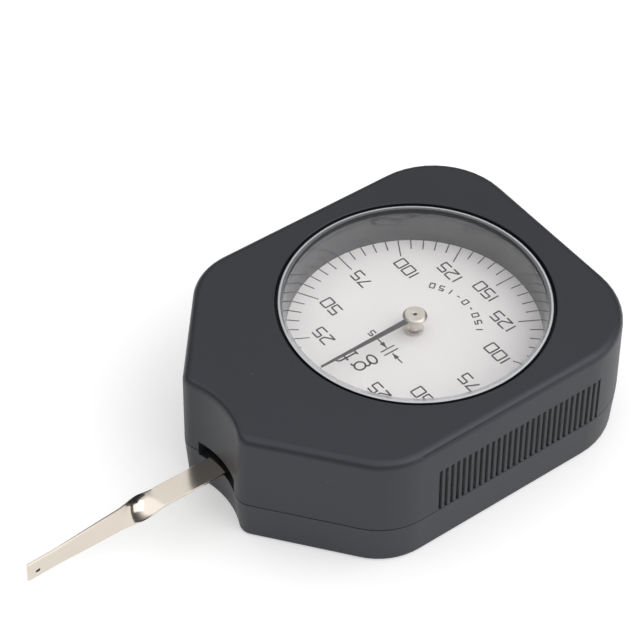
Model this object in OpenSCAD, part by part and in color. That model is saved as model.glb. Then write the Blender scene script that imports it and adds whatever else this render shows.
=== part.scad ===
// Dial tension gauge: a hand-held gauge with a swinging lever and a round dial.
// Millimetres. +Z comes out of the dial, the origin lies on the pointer axis at the rear face,
// and the lever points along -Y.

/* [Case] */
// Width of the case across the grip flanks
case_w = 62; // [58:0.5:68]
// Width of the case beside the window
side_rim = 5.15; // [4.8:0.05:6]
// Width of the case beyond the window at the far end
far_rim = 6.65; // [6.2:0.05:9]
// Thickness of the closed case
case_h = 26; // [24:0.5:29]
// Height of the parting line as a share of the thickness
split_share = 0.346; // [0.336:0.002:0.36]
// Wall thickness of both mouldings
wall = 2; // [1.8:0.1:2.2]
// Thickness of the roof round the dial opening
roof_t = 3; // [2.8:0.1:3.2]
// Thickness of the rear cover floor
floor_t = 2; // [1.6:0.1:2.1]
// Corner radius at the far end
far_r = 16; // [14:0.5:18]
// Corner radius at the shoulders on the lever side
shoulder_r = 13; // [10:0.5:15]
// Angle of the slanted nose faces from square across
nose_angle = 39; // [38:0.5:40]
// Distance from the window edge to the slanted nose faces
nose_rim = 15.45; // [15.1:0.05:16.5]
// Radius of the hollow in the nose end
scoop_r = 17.2; // [16:0.2:18.4]
// Distance from the window edge to the deepest point of the hollow
scoop_rim = 18.05; // [17.7:0.05:18.6]
// Inward lean of the hollow from the parting line to the top
scoop_lean = 0.5; // [0.3:0.1:0.7]
// Inward lean of the hollow from the parting line to the rear face
scoop_back = 0.5; // [0.3:0.1:0.7]
// Rounding of the hollow into the top face
scoop_round = 1; // [0.8:0.1:1.3]
// Rounding of the two lips beside the hollow
lip_r = 3.2; // [2.8:0.1:3.5]
// Rounding of the rim round the top face
top_round = 1.5; // [1.2:0.1:1.7]
// Rounding of the rim round the rear face
rear_round = 0.6; // [0.4:0.1:0.8]
// Inward lean of the front case walls at the top
front_draft = 0.3; // [0.1:0.05:0.5]
// Inward lean of the rear cover walls at the rear face
rear_draft = 0.45; // [0.3:0.05:0.8]
// Height of the small bevel on both edges of the parting line
split_bevel = 0.12; // [0.1:0.01:0.15]

/* [Grip ribs] */
// Number of grooves in each flank
groove_count = 29; // [21:1:31]
// Width of each groove as a share of its spacing
groove_share = 0.56; // [0.4:0.02:0.6]
// Depth of each groove
groove_d = 0.65; // [0.5:0.05:0.75]
// Height of the grooves above the parting line
groove_h = 10.3; // [8:0.1:11]

/* [Window and dial] */
// Thickness of the window disc
glass_t = 2.2; // [2:0.1:2.4]
// Width of the open groove round the window
glass_groove = 0.75; // [0.65:0.05:0.85]
// Width of the bevel on the window rim
glass_bevel = 1.1; // [1:0.05:1.2]
// Depth of the window top below the top face
glass_recess = 0.1; // [0.05:0.05:0.2]
// Depth of the dial face below the top face
dial_depth = 8.95; // [8.7:0.05:9.2]
// Narrowing of the wall round the dial from the window to the dial face
bore_taper = 0.5; // [0.3:0.1:0.7]
// Thickness of the dial plate
dial_t = 0.8; // [0.6:0.1:1]

/* [Pointer] */
// Gap between the needle tip and the wall round the dial
needle_gap = 3; // [2:0.1:5]
// Width of the needle beside the hub
needle_w = 1.2; // [1:0.05:1.4]
// Width of the needle at its tip
needle_tip = 0.35; // [0.3:0.05:0.6]
// Thickness of the needle
needle_t = 0.3; // [0.2:0.05:0.4]
// Height of the needle above the dial face
needle_lift = 3.3; // [3.2:0.05:3.4]
// Radius of the hub head
hub_r = 2.3; // [2:0.05:2.5]
// Thickness of the hub head
hub_head = 0.65; // [0.55:0.05:0.8]

/* [Lever] */
// Distance from the pointer axis to the lever tip
lever_reach = 84.4; // [82:0.1:92]
// Width of the lever blade
blade_w = 4.65; // [4:0.05:5]
// Thickness of the lever blade
blade_t = 0.5; // [0.4:0.05:0.6]
// Distance from the pointer axis to the start of the quarter twist
twist_start = 58.5; // [56:0.5:61]
// Length of the sharp part of the twist
twist_len = 5.5; // [4.5:0.5:8]
// Turn of the blade at the end of the sharp part
twist_angle = 80; // [75:1:85]
// Turn of the blade at its tip
tip_angle = 95; // [88:1:98]
// Drop of the blade for each millimetre beyond the start of the twist
tip_slope = 0.043; // [0:0.001:0.06]
// Diameter of the thread hole at the lever tip
eye_d = 0.9; // [0.7:0.1:1.4]
// Distance from the lever tip to the thread hole
eye_set = 2; // [1.8:0.1:3]
// Distance of the thread hole below the middle of the blade
eye_low = 0.6; // [0:0.1:0.8]
// Gap beside the blade at the end of its swing
slot_gap = 0.4; // [0.3:0.05:0.6]

/* [Movement] */
// Distance from the hollow in the nose to the lever pivot
pivot_set = 13.3; // [12.9:0.1:13.8]
// Thinning of each tooth for backlash
tooth_thin = 0.03; // [0.02:0.005:0.05]
// Thickness of the front movement plate
front_plate_t = 1.8; // [1.6:0.1:2]
// Thickness of the rear movement plate
rear_plate_t = 1.6; // [1.4:0.1:1.7]
// Thickness of the sector gear
sector_t = 1; // [0.8:0.05:1.1]
// Radius of the plate pillars
pillar_r = 2; // [1.8:0.1:2.2]
// Radius of the pinion arbor
arbor_r = 0.75; // [0.7:0.01:0.8]
// Radius of the lever arbor
lever_arbor_r = 1; // [0.9:0.05:1.1]
// Radial play of a pivot in its bush
pivot_play = 0.03; // [0.02:0.005:0.04]

/* [Hidden] */
$fn = 64;
// Radial clearance of a pressed or bonded seat
seat = 0.01;
// End play of each arbor
shake = 0.1;
// Overlap that lets a cut break through a face
over = 1;
// Gap that keeps neighbouring pieces apart
gap = 0.2;
// Overlap that roots a post in a roof or a floor
root = 0.5;

// Plan of the case
glass_r = case_w / 2 - side_rim;
case_far = glass_r + far_rim;
nose_dist = glass_r + nose_rim;
scoop_y = glass_r + scoop_rim;
scoop_c = [0, -scoop_y - scoop_r];
scoop_fill = scoop_lean / 2;
split_cut = 2.5 * split_bevel;
shoulder_c = [case_w / 2 - shoulder_r,
    ((case_w / 2 - shoulder_r) * sin(nose_angle) - (nose_dist - shoulder_r)) / cos(nose_angle)];
far_c = [case_w / 2 - far_r, case_far - far_r];

// Grip grooves, from just past the shoulder to just past the start of the far corner
groove_y0 = shoulder_c.y + 4;
groove_y1 = far_c.y + 2.2;
groove_pitch = (groove_y1 - groove_y0) / (groove_count - 1);
groove_w = groove_share * groove_pitch;

// Gear train
pinion_teeth = 12;
gear_ratio = 16;
sector_teeth = pinion_teeth * gear_ratio;
press_angle = 20;
pivot_y = scoop_y - pivot_set;
gear_module = 2 * pivot_y / (pinion_teeth + sector_teeth);
pinion_pr = gear_module * pinion_teeth / 2;
sector_pr = gear_module * sector_teeth / 2;
sector_root = sector_pr - 1.25 * gear_module;
swing = 180 / gear_ratio;
half_teeth = 7;
fan_half = (half_teeth + 0.5) * 360 / sector_teeth + 0.5;

// Screws: head radius, head height, shank radius and depth of thread
cover_head_r = 2.4;
cover_head_h = 1.7;
cover_shank = 1.2;
plate_head_r = 1.7;
plate_head_h = 1;
plate_shank = 1;
plate_thread = 4;
frame_head_r = 1.9;
frame_head_h = 1.3;
frame_shank = 1;
frame_thread = 4.5;
clamp_head_r = 0.9;
clamp_head_h = 0.7;
clamp_shank = 0.5;

// Heights of the case, window and dial
split_z = case_h * split_share;
roof_z = case_h - roof_t;
post_end = roof_z - roof_t;
cover_seat = floor_t + 0.5;
glass_z = case_h - glass_recess - glass_t;
dial_top = case_h - dial_depth;
fp_top = dial_top - dial_t;
fp_bot = fp_top - front_plate_t;

// Heights of the lever stack, with the free height below it shared out
flange_t = 1.5;
blade_z = split_z + 0.7;
blade_top = blade_z + blade_t;
blade_mid = blade_z + blade_t / 2;
flange_z = blade_z - flange_t;
sector_z = flange_z - sector_t;
slack = sector_z - floor_t - plate_head_h - rear_plate_t;
rp_bot = floor_t + plate_head_h + 0.23 * slack;
rp_top = rp_bot + rear_plate_t;
slot_lo = split_z - 1.1;
slot_hi = split_z + 2.4;

// Dial opening
seat_r = glass_r + 0.05;
tube_in = glass_r - 1.45;
bore_slope = bore_taper / (glass_z - dial_top);
seat_edge = 0.1;
tube_out = tube_in + 2.2;
dial_r = tube_in + 0.6;
needle_len = tube_in - needle_gap;

// Lever slot and sector stops
slot_half = (scoop_y + 1.3 - pivot_y) * tan(swing) + blade_w / 2 / cos(swing) + slot_gap;
slot_out = 4;
stop_r = 0.8;
stop_rho = 0.76 * sector_pr;
stop_ang = fan_half + swing + asin((stop_r + 0.05) / stop_rho);
stop_x = stop_rho * sin(stop_ang);
stop_y = stop_rho * cos(stop_ang) - pivot_y;

// Rear cover: wall, and the tongue that locates it in the front case
cover_wall = wall + 0.3;
tongue_up = 1.2;
tongue_down = 2.5;
tongue_t = 1;
tongue_gap = 0.1;

// Screw posts of the case
boss_r = 3;
boss_in = 2.2;
boss_out = 1.55;
boss_ring = glass_r + boss_out;
boss_angles = [90, 210, 330];
far_post = far_c + (far_r - wall - boss_r + 0.4) * [cos(45), sin(45)];
nose_post = shoulder_c
    + (shoulder_r - wall - boss_r + 0.4) * [cos(nose_angle / 2 - 45), sin(nose_angle / 2 - 45)];
posts = [far_post, [-far_post.x, far_post.y], nose_post, [-nose_post.x, nose_post.y]];

// Movement frame
plate_half = 13;
plate_far = 9;
plate_low = pivot_y + 6.2;
plate_corner = 3;
pillar_in = 2;
pillar_far = 6;
pillar_low = 6.6;
pillar_x = plate_half - pillar_in;
pillars = [for (x = [pillar_x, -pillar_x]) for (y = [pillar_far, pillar_low - pivot_y]) [x, y]];
spigot_r = 1.2;
bush_r = 1.8;
pivot_r = 0.6;
post_r = 0.6;

// Hub and arbor end
hub_waist = 1.3;
hub_foot = 1.78;
hub_bevel = 0.43;
hub_pin = 0.6;
hub_bore = needle_lift + needle_t;

// Lever boss, its spring and the pinion spring
neck_r = 2.4;
flange_r = 5;
clamp_x = 3.6;
spring_z = blade_top + clamp_head_h + 0.3;
spring_h = 0.54 * (fp_bot - spring_z);
spring_t = 0.9;
spring_in = neck_r + 0.1;
spring_pitch = 2.3;
spring_turns = 2.25;
anchor_r = 1;
anchor_x = spring_in + spring_pitch * spring_turns + spring_t + anchor_r + 0.02;
hair_z = fp_bot - 2.6;
hair_h = 0.5;
hair_t = 0.12;
collet_r = 1.5;
collet_h = 1.1;
hair_in = collet_r + 0.05;
hair_pitch = 0.9;
hair_turns = 5;
hair_post_x = hair_in + hair_pitch * hair_turns + hair_t + post_r + 0.02;

// Turn and drop of the blade at distance y from the pointer axis
twist_end = twist_start + twist_len;
flat_tip = lever_reach - 6;
function blade_turn(y) = y < twist_end ? twist_angle * (y - twist_start) / twist_len
    : twist_angle + (tip_angle - twist_angle) * min(1, (y - twist_end) / (flat_tip - twist_end));
function blade_drop(y) = tip_slope * (y - twist_start);

// Points of an arc from angle a to angle b in n steps
function arc(c, r, a, b, n) = [for (i = [0:n]) c + r * [cos(a + (b - a) * i / n), sin(a + (b - a) * i / n)]];

function tail(v) = [for (i = [1:len(v) - 1]) v[i]];

// Centre of the rounding where a slanted nose face, inset by d, meets the hollow, inset by e
function nose_c(d, e, r) =
    let (k = nose_dist - d - r, q = scoop_r + e + r, y = -scoop_c.y, s = y * sin(nose_angle))
    let (t = sqrt(s * s - (k * k + y * y - 2 * y * k * cos(nose_angle) - q * q)) - s)
    [k * sin(nose_angle) + t * cos(nose_angle), t * sin(nose_angle) - k * cos(nose_angle)];

// Case outline, inset by d and by e at the hollow, with lips rounded by r
function half_outline(d, e, r) =
    let (c = nose_c(d, e, r), b = atan2(scoop_c.y - c.y, -c.x))
    concat(
        arc(scoop_c, scoop_r + e, 90, b + 180, 8),
        tail(arc(c, r, b, nose_angle - 90, 6)),
        arc(shoulder_c, shoulder_r - d, nose_angle - 90, 0, 8),
        arc(far_c, far_r - d, 0, 90, 12));

function outline(d, e, r) =
    let (h = half_outline(d, e, r), n = len(h))
    concat(h, [for (i = [1:n - 1]) [-h[n - i].x, h[n - i].y]]);

// Solid through a stack of outlines, each given as a height, an inset and an inset at the hollow
module loft(steps) {
    rings = [for (s = steps) outline(s[1], s[2], lip_r - s[1])];
    n = len(rings[0]);
    m = len(rings);
    polyhedron(
        points = concat(
            [for (i = [0:m - 1]) for (p = rings[i]) [p.x, p.y, steps[i][0]]],
            [[0, 0, steps[0][0]], [0, 0, steps[m - 1][0]]]),
        faces = concat(
            [for (j = [0:n - 1]) [m * n, j, (j + 1) % n]],
            [for (j = [0:n - 1]) [m * n + 1, (m - 1) * n + (j + 1) % n, (m - 1) * n + j]],
            [for (i = [0:m - 2]) for (j = [0:n - 1])
                [i * n + j, (i + 1) * n + j, (i + 1) * n + (j + 1) % n, i * n + (j + 1) % n]]));
}

// Prism of the case outline between two heights
module prism(z0, z1, d, r) {
    translate([0, 0, z0])
        linear_extrude(z1 - z0)
            polygon(outline(d, d + scoop_fill, r));
}

// Upright round bar between two heights
module bar(p, r, z0, z1) {
    translate([p.x, p.y, z0])
        cylinder(r = r, h = z1 - z0);
}

// Flat rounded rectangle
module round_rect(x0, y0, x1, y1, r) {
    translate([x0 + r, y0])
        square([x1 - x0 - 2 * r, y1 - y0]);
    translate([x0, y0 + r])
        square([x1 - x0, y1 - y0 - 2 * r]);
    for (x = [x0 + r, x1 - r])
        for (y = [y0 + r, y1 - r])
            translate([x, y])
                circle(r = r);
}

// Flat spiral strip
module spiral(r0, pitch, turns, t, h, end_angle) {
    n = ceil(turns * 24);
    a0 = end_angle - 360 * turns;
    linear_extrude(h)
        polygon(concat(
            [for (i = [0:n]) (r0 + pitch * turns * i / n)
                * [cos(a0 + 360 * turns * i / n), sin(a0 + 360 * turns * i / n)]],
            [for (i = [n:-1:0]) (r0 + t + pitch * turns * i / n)
                * [cos(a0 + 360 * turns * i / n), sin(a0 + 360 * turns * i / n)]]));
}

// Screw with a drive recess, head downwards, standing on the underside of its head seat at z = 0
module screw(head_r, head_h, shank_r, length, cross) {
    edge = 0.1 * head_r;
    point = 0.35 * shank_r;
    difference() {
        union() {
            translate([0, 0, -head_h])
                cylinder(r1 = head_r - edge, r2 = head_r, h = edge);
            translate([0, 0, edge - head_h])
                cylinder(r = head_r, h = head_h - edge);
            cylinder(r = shank_r, h = length - point);
            translate([0, 0, length - point])
                cylinder(r1 = shank_r, r2 = shank_r - 0.75 * point, h = point);
        }
        translate([-head_r * 0.65, -head_r * 0.12, -head_h - over])
            cube([head_r * 1.3, head_r * 0.24, over + head_h * 0.55]);
        if (cross)
            translate([-head_r * 0.12, -head_r * 0.65, -head_h - over])
                cube([head_r * 0.24, head_r * 1.3, over + head_h * 0.55]);
    }
}

// Involute tooth flank: half angle of a tooth at radius r
function inv(a) = tan(a) * 180 / PI - a;
function tooth_half(r, pr) =
    let (rb = pr * cos(press_angle))
    (PI * gear_module / 2 - tooth_thin) / 2 / pr * 180 / PI
        + inv(press_angle) - (r > rb ? inv(acos(rb / r)) : 0);

// Points of one tooth centred on angle a, from root radius r0 to tip radius r1
function tooth(a, r0, r1, pr) =
    let (n = 5, rb = pr * cos(press_angle), rs = max(r0 + 0.02, rb))
    let (rr = concat([r0], [for (i = [0:n]) rs + (r1 - rs) * i / n]))
    concat(
        [for (r = rr) r * [cos(a - tooth_half(r, pr)), sin(a - tooth_half(r, pr))]],
        [for (i = [len(rr) - 1:-1:0]) rr[i]
            * [cos(a + tooth_half(rr[i], pr)), sin(a + tooth_half(rr[i], pr))]]);

// Slice of a ring standing on +Y, half angle w
module fan(r0, r1, w) {
    polygon(concat(arc([0, 0], r1, 90 - w, 90 + w, 24), arc([0, 0], r0, 90 + w, 90 - w, 12)));
}

module front_case() {
    color([0.16, 0.16, 0.17])
        difference() {
            union() {
                difference() {
                    loft(concat(
                        [[split_z, split_cut, split_cut], [split_z + split_bevel, 0, 0]],
                        [for (a = [0:15:90])
                            [case_h - top_round + top_round * sin(a),
                                front_draft + top_round * (1 - cos(a)),
                                scoop_lean + scoop_round * (1 - cos(a))]]));
                    prism(split_z - over, roof_z, wall, 1);
                }
                bar([0, 0], tube_out, dial_top, roof_z + root);
                for (p = posts)
                    bar(p, boss_r, split_z, roof_z + root);
                for (a = boss_angles)
                    bar(boss_ring * [cos(a), sin(a)], boss_in, fp_top, roof_z + root);
            }
            translate([0, 0, dial_top - over])
                cylinder(r1 = tube_in - bore_taper - over * bore_slope, r2 = tube_in + over * bore_slope,
                    h = glass_z - dial_top + 2 * over);
            bar([0, 0], seat_r, glass_z, case_h + over);
            translate([0, 0, case_h - seat_edge])
                cylinder(r1 = seat_r, r2 = seat_r + seat_edge + over, h = seat_edge + over);
            for (p = posts)
                bar(p, cover_shank + seat, split_z - over, post_end);
            for (a = boss_angles)
                bar(boss_ring * [cos(a), sin(a)], frame_shank + seat, fp_top - over, roof_z - roof_t / 3);
            for (i = [0:groove_count - 1])
                for (s = [-1, 1])
                    translate([s * (case_w / 2 + over), groove_y0 + i * groove_pitch,
                        split_z + groove_h / 2 - over / 2])
                        cube([2 * (groove_d + over), groove_w, groove_h + over], center = true);
            translate([-slot_half, -scoop_y - slot_out, split_z - over])
                cube([2 * slot_half, slot_out + wall + scoop_fill + over, slot_hi - split_z + over]);
        }
}

module rear_cover() {
    color([0.17, 0.17, 0.18])
        difference() {
            union() {
                difference() {
                    loft(concat(
                        [for (a = [0:30:90])
                            let (d = rear_round * (1 - sin(a)))
                            [rear_round * (1 - cos(a)), rear_draft + d, scoop_back + d]],
                        [[split_z - split_bevel, 0, 0], [split_z, split_cut, split_cut]]));
                    prism(floor_t, split_z + over, cover_wall, 1);
                }
                difference() {
                    prism(split_z - tongue_down, split_z + tongue_up, wall + tongue_gap, 1);
                    prism(split_z - tongue_down - over, split_z + tongue_up + over,
                        wall + tongue_gap + tongue_t, 0.6);
                    for (p = posts)
                        bar(p, boss_r + gap, split_z, split_z + tongue_up + over);
                }
                for (p = posts)
                    bar(p, boss_r, floor_t - root, split_z);
            }
            for (p = posts) {
                bar(p, cover_head_r + gap, -over, cover_seat);
                bar(p, cover_shank + gap, 0, split_z + over);
            }
            translate([-slot_half, -scoop_y - slot_out, slot_lo])
                cube([2 * slot_half, slot_out + wall + scoop_fill + 2 * over, split_z - slot_lo + 2 * over]);
        }
}

module cover_screws() {
    color([0.55, 0.55, 0.57])
        for (p = posts)
            translate([p.x, p.y, cover_seat])
                screw(cover_head_r, cover_head_h, cover_shank, post_end - root - cover_seat, true);
}

module window() {
    color([0.85, 0.92, 0.95, 0.35])
        translate([0, 0, glass_z])
            rotate_extrude($fn = 128)
                polygon([[0, 0], [glass_r, 0], [glass_r, glass_t / 2], [glass_r - glass_groove, glass_t / 2],
                    [glass_r - glass_groove, glass_t - 0.1 * glass_bevel],
                    [glass_r - glass_groove - glass_bevel, glass_t], [0, glass_t]]);
}

module dial_plate() {
    color([0.93, 0.93, 0.93])
        translate([0, 0, fp_top])
            linear_extrude(dial_t)
                difference() {
                    circle(r = dial_r);
                    circle(r = arbor_r + 0.55);
                }
}

module front_plate() {
    color([0.82, 0.68, 0.38])
        translate([0, 0, fp_bot])
            linear_extrude(front_plate_t)
                difference() {
                    union() {
                        circle(r = dial_r);
                        round_rect(-plate_half, -plate_low, plate_half, 0, plate_corner);
                        for (a = boss_angles)
                            rotate(a) {
                                translate([boss_ring, 0])
                                    circle(r = boss_in);
                                translate([boss_ring - 6, -boss_in])
                                    square([6, 2 * boss_in]);
                            }
                    }
                    for (y = [0, -pivot_y])
                        translate([0, y])
                            circle(r = bush_r + seat);
                    for (p = pillars)
                        translate(p)
                            circle(r = spigot_r + seat);
                    for (a = boss_angles)
                        translate(boss_ring * [cos(a), sin(a)])
                            circle(r = frame_shank + 0.1);
                    translate([hair_post_x, 0])
                        circle(r = post_r + seat);
                    translate([anchor_x, -pivot_y])
                        circle(r = anchor_r + seat);
                    for (s = [-1, 1])
                        translate([s * 0.56 * dial_r, 0.36 * dial_r])
                            circle(r = 0.24 * dial_r);
                }
}

module rear_plate() {
    color([0.8, 0.66, 0.36])
        translate([0, 0, rp_bot])
            linear_extrude(rear_plate_t)
                difference() {
                    round_rect(-plate_half - 0.5, -plate_low, plate_half + 0.5, plate_far, plate_corner);
                    round_rect(-0.54 * plate_half, 8 - pivot_y, 0.54 * plate_half, -5, 2);
                    for (y = [0, -pivot_y])
                        translate([0, y])
                            circle(r = bush_r + seat);
                    for (p = pillars)
                        translate(p)
                            circle(r = plate_shank + 0.1);
                    for (s = [-1, 1])
                        translate([s * stop_x, stop_y])
                            circle(r = stop_r + seat);
                }
}

module plate_pillars() {
    color([0.84, 0.7, 0.4])
        for (p = pillars)
            difference() {
                union() {
                    bar(p, pillar_r, rp_top, fp_bot);
                    bar(p, spigot_r, fp_bot - over, fp_top);
                }
                bar(p, plate_shank, rp_top - over, rp_top + plate_thread + over);
            }
}

module plate_screws() {
    color([0.62, 0.62, 0.64])
        for (p = pillars)
            translate([p.x, p.y, rp_bot])
                screw(plate_head_r, plate_head_h, plate_shank - seat, rear_plate_t + plate_thread, false);
}

module movement_screws() {
    color([0.6, 0.6, 0.62])
        for (a = boss_angles)
            translate([boss_ring * cos(a), boss_ring * sin(a), fp_bot])
                screw(frame_head_r, frame_head_h, frame_shank, front_plate_t + frame_thread, true);
}

module front_bushes() {
    color([0.72, 0.5, 0.28])
        for (b = [[0, arbor_r], [-pivot_y, pivot_r]])
            translate([0, b[0], fp_bot])
                linear_extrude(front_plate_t)
                    difference() {
                        circle(r = bush_r);
                        circle(r = b[1] + pivot_play);
                    }
}

module rear_bushes() {
    color([0.72, 0.5, 0.28])
        for (y = [0, -pivot_y])
            translate([0, y, rp_bot])
                linear_extrude(rear_plate_t)
                    difference() {
                        circle(r = bush_r);
                        circle(r = pivot_r + pivot_play);
                    }
}

module stop_pins() {
    color([0.66, 0.66, 0.68])
        for (s = [-1, 1])
            bar([s * stop_x, stop_y], stop_r, rp_bot, sector_z + sector_t + stop_r / 2);
}

module spring_anchor() {
    color([0.66, 0.66, 0.68])
        bar([anchor_x, -pivot_y], anchor_r, spring_z - 0.3, fp_top);
}

module measuring_spring() {
    color([0.45, 0.47, 0.52])
        translate([0, -pivot_y, spring_z])
            spiral(spring_in, spring_pitch, spring_turns, spring_t, spring_h, 0);
}

module hairspring_stud() {
    color([0.8, 0.66, 0.36])
        bar([hair_post_x, 0], post_r, hair_z - 0.4, fp_top);
}

module hairspring() {
    color([0.4, 0.42, 0.5])
        translate([0, 0, hair_z])
            spiral(hair_in, hair_pitch, hair_turns, hair_t, hair_h, 0);
}

module pinion_arbor() {
    color([0.7, 0.7, 0.72])
        union() {
            bar([0, 0], pivot_r, rp_bot, rp_top + over);
            bar([0, 0], arbor_r, rp_top + shake, dial_top);
            bar([0, 0], hub_pin, dial_top - over, dial_top + hub_bore - seat);
            translate([0, 0, sector_z - 0.6 * sector_t])
                linear_extrude(2.2 * sector_t)
                    polygon([for (i = [0:pinion_teeth - 1])
                        each tooth(270 + (i + 0.5) * 360 / pinion_teeth, pinion_pr - 0.95 * gear_module,
                            pinion_pr + gear_module, pinion_pr)]);
        }
}

module hairspring_collet() {
    color([0.82, 0.68, 0.38])
        difference() {
            bar([0, 0], collet_r, hair_z + hair_h / 2 - collet_h / 2, hair_z + hair_h / 2 + collet_h / 2);
            bar([0, 0], arbor_r + seat, hair_z - collet_h, hair_z + 2 * collet_h);
        }
}

module pointer_hub() {
    z0 = hub_foot / 7;
    z1 = needle_lift + needle_t;
    color([0.78, 0.78, 0.78])
        translate([0, 0, dial_top])
            difference() {
                rotate_extrude()
                    polygon([[0, z0], [hub_foot, z0], [hub_foot, z0 + hub_foot / 5],
                        [hub_waist, z0 + 1.2 * hub_waist], [hub_waist, z1],
                        [hub_r, z1], [hub_r, z1 + hub_head - hub_bevel], [hub_r - hub_bevel, z1 + hub_head],
                        [0.2 * hub_r, z1 + hub_head], [0, z1 + hub_head - 0.17 * hub_r]]);
                translate([0, 0, -over])
                    cylinder(r = hub_pin + seat, h = over + hub_bore);
            }
}

module pointer_needle() {
    color([0.06, 0.06, 0.06])
        translate([0, 0, dial_top + needle_lift])
            linear_extrude(needle_t)
                difference() {
                    union() {
                        circle(r = 0.82 * hub_r);
                        polygon([[-needle_w / 2, 0], [-needle_tip / 2, -needle_len],
                            [needle_tip / 2, -needle_len], [needle_w / 2, 0]]);
                    }
                    circle(r = hub_waist + seat);
                }
}

module lever_arbor() {
    color([0.7, 0.7, 0.72])
        union() {
            bar([0, -pivot_y], pivot_r, rp_bot, fp_top);
            bar([0, -pivot_y], lever_arbor_r, rp_top + shake, fp_bot - shake);
        }
}

module lever_boss() {
    color([0.84, 0.7, 0.4])
        difference() {
            union() {
                bar([0, -pivot_y], neck_r, sector_z, spring_z + spring_h + gap);
                bar([0, -pivot_y], flange_r, flange_z, blade_z);
            }
            bar([0, -pivot_y], lever_arbor_r + seat, sector_z - over, fp_bot);
            for (s = [-1, 1])
                bar([s * clamp_x, -pivot_y], clamp_shank + seat, sector_z - over, blade_top + over);
        }
}

module sector_gear() {
    color([0.86, 0.72, 0.42])
        translate([0, -pivot_y, sector_z])
            linear_extrude(sector_t)
                difference() {
                    union() {
                        circle(r = flange_r + gap);
                        polygon(concat(
                            [[0, 0], sector_root * [sin(fan_half), cos(fan_half)]],
                            [for (k = [-half_teeth:half_teeth])
                                each tooth(90 + k * 360 / sector_teeth, sector_root,
                                    sector_pr + 0.65 * gear_module, sector_pr)],
                            [sector_root * [-sin(fan_half), cos(fan_half)]]));
                    }
                    fan(1.8 * flange_r, 0.9 * sector_root, fan_half - 5);
                    circle(r = neck_r + seat);
                    for (s = [-1, 1])
                        translate([s * clamp_x, 0])
                            circle(r = clamp_shank + seat);
                }
}

module lever_blade() {
    ys = concat(
        [for (i = [0:14]) twist_start + twist_len * i / 14],
        [for (i = [1:6]) twist_end + (flat_tip - twist_end) * i / 6],
        [lever_reach]);
    n = len(ys) - 1;
    color([0.8, 0.79, 0.77])
        difference() {
            union() {
                translate([0, -pivot_y, blade_z])
                    linear_extrude(blade_t)
                        difference() {
                            union() {
                                circle(r = flange_r);
                                translate([-blade_w / 2, pivot_y - twist_start])
                                    square([blade_w, twist_start - pivot_y]);
                            }
                            circle(r = neck_r + seat);
                            for (s = [-1, 1])
                                translate([s * clamp_x, 0])
                                    circle(r = clamp_shank + 0.05);
                        }
                polyhedron(
                    points = [for (y = ys)
                        let (t = blade_turn(y))
                        for (c = [[-1, -1], [1, -1], [1, 1], [-1, 1]])
                            let (u = c.x * blade_w / 2, v = c.y * blade_t / 2)
                            [u * cos(t) + v * sin(t), -y,
                                blade_mid - blade_drop(y) - u * sin(t) + v * cos(t)]],
                    faces = concat(
                        [[0, 1, 2, 3]],
                        [[4 * n + 3, 4 * n + 2, 4 * n + 1, 4 * n]],
                        [for (i = [0:n - 1]) for (j = [0:3])
                            each [[4 * i + 4 + (j + 1) % 4, 4 * i + (j + 1) % 4, 4 * i + j],
                                [4 * i + 4 + j, 4 * i + 4 + (j + 1) % 4, 4 * i + j]]]));
            }
            translate([0, eye_set - lever_reach, blade_mid - blade_drop(lever_reach - eye_set)])
                rotate([0, tip_angle, 0])
                    translate([eye_low, 0, -over])
                        cylinder(d = eye_d, h = 2 * over);
        }
}

module lever_screws() {
    color([0.62, 0.62, 0.64])
        for (s = [-1, 1])
            translate([s * clamp_x, -pivot_y, blade_top])
                mirror([0, 0, 1])
                    screw(clamp_head_r, clamp_head_h, clamp_shank, blade_top - sector_z, false);
}

front_case();
rear_cover();
cover_screws();
window();
dial_plate();
front_plate();
rear_plate();
plate_pillars();
plate_screws();
movement_screws();
front_bushes();
rear_bushes();
stop_pins();
spring_anchor();
measuring_spring();
hairspring_stud();
hairspring();
pinion_arbor();
hairspring_collet();
pointer_hub();
pointer_needle();
lever_arbor();
lever_boss();
sector_gear();
lever_blade();
lever_screws();
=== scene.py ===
# Dial tension gauge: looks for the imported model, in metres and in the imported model's frame.
# +Z comes out of the dial, the origin lies on the pointer axis at the rear face, and the lever
# points along -Y.
import math

import bmesh
import bpy
from mathutils import Matrix, Vector


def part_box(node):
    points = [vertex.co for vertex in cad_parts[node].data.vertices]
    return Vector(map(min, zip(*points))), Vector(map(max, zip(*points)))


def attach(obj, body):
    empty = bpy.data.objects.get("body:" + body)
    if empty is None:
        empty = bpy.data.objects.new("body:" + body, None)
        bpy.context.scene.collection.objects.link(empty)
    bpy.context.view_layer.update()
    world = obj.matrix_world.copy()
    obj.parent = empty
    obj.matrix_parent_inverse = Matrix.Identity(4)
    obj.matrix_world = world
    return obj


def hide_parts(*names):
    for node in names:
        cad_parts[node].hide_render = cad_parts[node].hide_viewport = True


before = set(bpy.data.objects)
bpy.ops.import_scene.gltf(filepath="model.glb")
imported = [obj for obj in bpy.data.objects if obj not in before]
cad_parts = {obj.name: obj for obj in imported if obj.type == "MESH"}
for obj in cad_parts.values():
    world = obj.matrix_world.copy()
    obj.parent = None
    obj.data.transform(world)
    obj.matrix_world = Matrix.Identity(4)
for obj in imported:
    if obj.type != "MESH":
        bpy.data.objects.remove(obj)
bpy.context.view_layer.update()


# Movement frame: two plates of half-hard brass sheet with four turned pillars between them, which
# carry every arbor. The plates are blanked, then milled flat, so fine straight tool lines run
# across them.
def linear(code):
    """An sRGB hex colour as the linear colour of a shader socket."""
    parts = [int(code[i:i + 2], 16) / 255 for i in (1, 3, 5)]
    return [c / 12.92 if c <= 0.04045 else ((c + 0.055) / 1.055) ** 2.4 for c in parts] + [1]


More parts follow.
